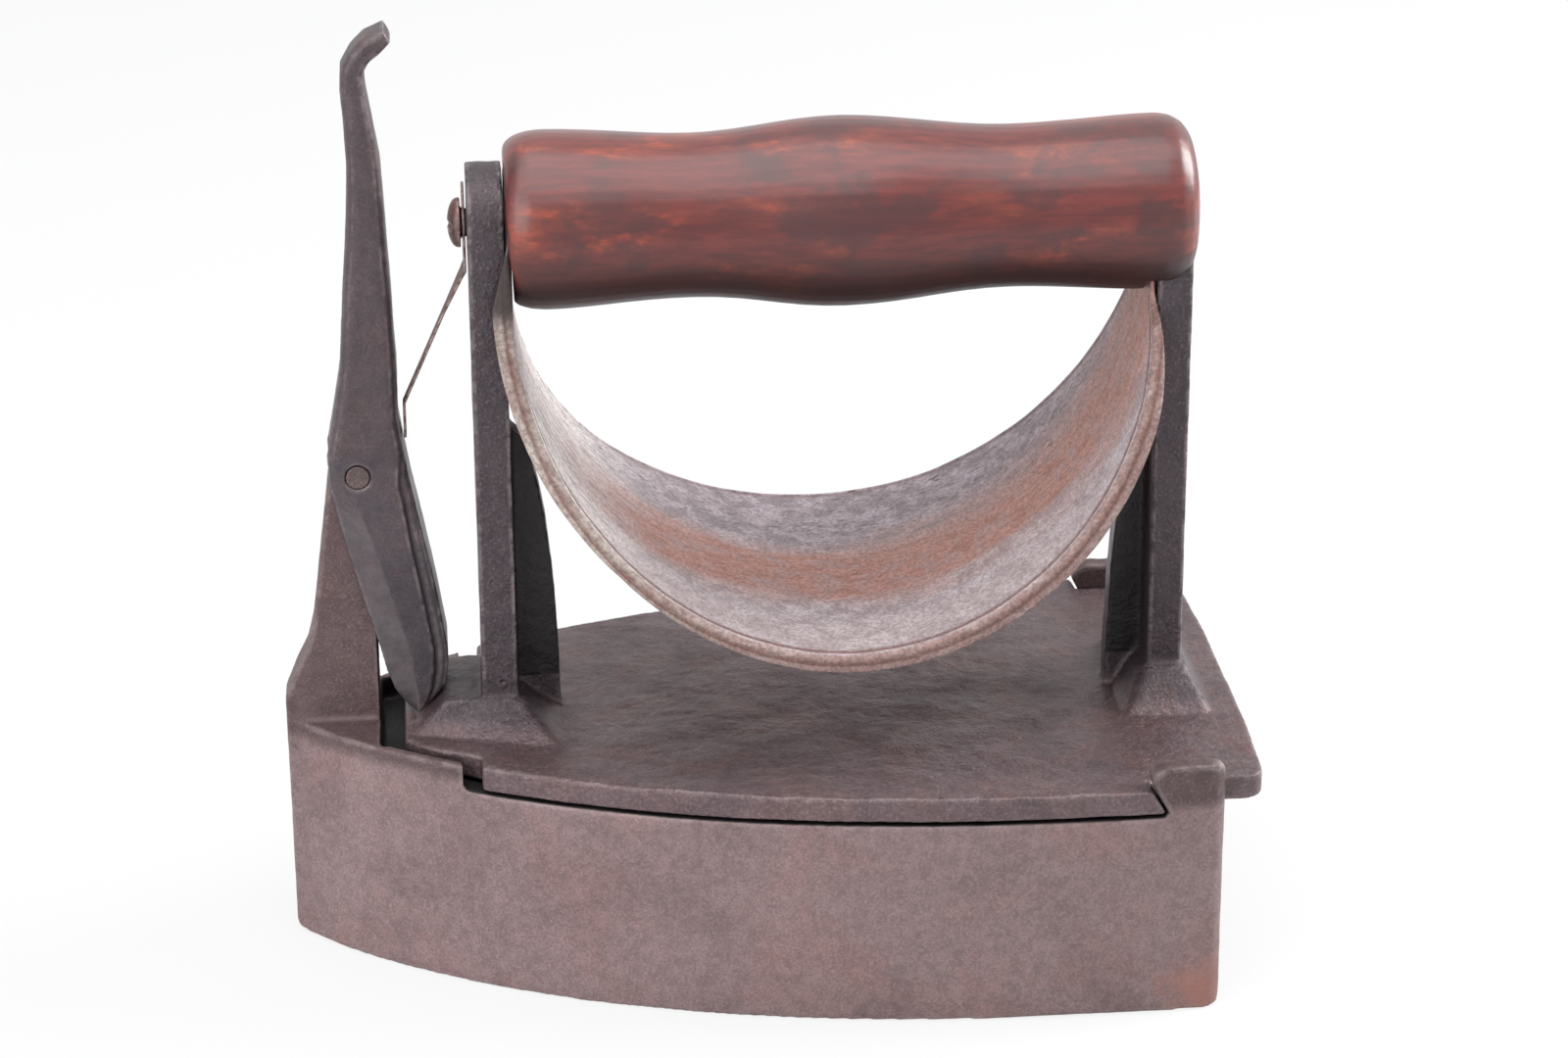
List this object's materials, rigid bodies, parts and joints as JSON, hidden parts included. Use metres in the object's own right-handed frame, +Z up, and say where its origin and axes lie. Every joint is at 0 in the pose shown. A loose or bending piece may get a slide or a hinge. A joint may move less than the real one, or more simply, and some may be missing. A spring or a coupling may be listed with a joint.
{
  "type": "slug iron",
  "caption": "Cast-iron pressing iron with a hollow base for a heated slug, a latched lid carrying a turned wooden grip over a sheet heat shield, and a thumb lever at the toe.",
  "frame": {"origin": "middle of the sole, on its underside: halfway between toe and heel of the base casting, in the plane of symmetry", "axes": "+X from toe to heel, +Z up from the sole, Y across the iron, which is symmetric about Y = 0"},
  "size_m": [0.1733, 0.098, 0.1719],
  "materials": {
    "base_iron": "warm brown-grey cast surface, finely speckled",
    "slug_iron": "fire-scaled rough casting",
    "lid_iron": "dark, unevenly cast, satin",
    "lever_iron": "dark, worn lighter on its edges",
    "pin_steel": "dull, rust-tinted",
    "spring_steel": "dull brown",
    "screw_steel": "dull brown",
    "shield_sheet": "mottled grey with a rusty band",
    "grip_wood": "glossy dark mahogany, worn orange in places"
  },
  "bodies": {
    "base": {"base_casting": "base_iron", "heat_slug": "slug_iron"},
    "lid": {"lid_casting": "lid_iron", "wooden_grip": "grip_wood", "heat_shield": "shield_sheet", "handle_screw": "screw_steel", "leaf_spring": "spring_steel"},
    "latch": {"thumb_lever": "lever_iron", "lever_pin": "pin_steel"}
  },
  "joints": [
    {"name": "lid_slide", "type": "slide", "parent": "base", "child": "lid", "axis": [-1, 0, 0], "range_m": [0, 0.003], "stiffness_N_per_m": 900, "springref_m": -0.002},
    {"name": "latch_swing", "type": "hinge", "parent": "base", "child": "latch", "pos_m": [-0.0676, 0, 0.0912], "axis": [0, 1, 0], "range_deg": [0, 8], "deforming": ["leaf_spring"]}
  ],
  "couplings": [
    {"joint": "latch_swing", "follows": "lid_slide", "rad_per_m": 46.542}
  ]
}
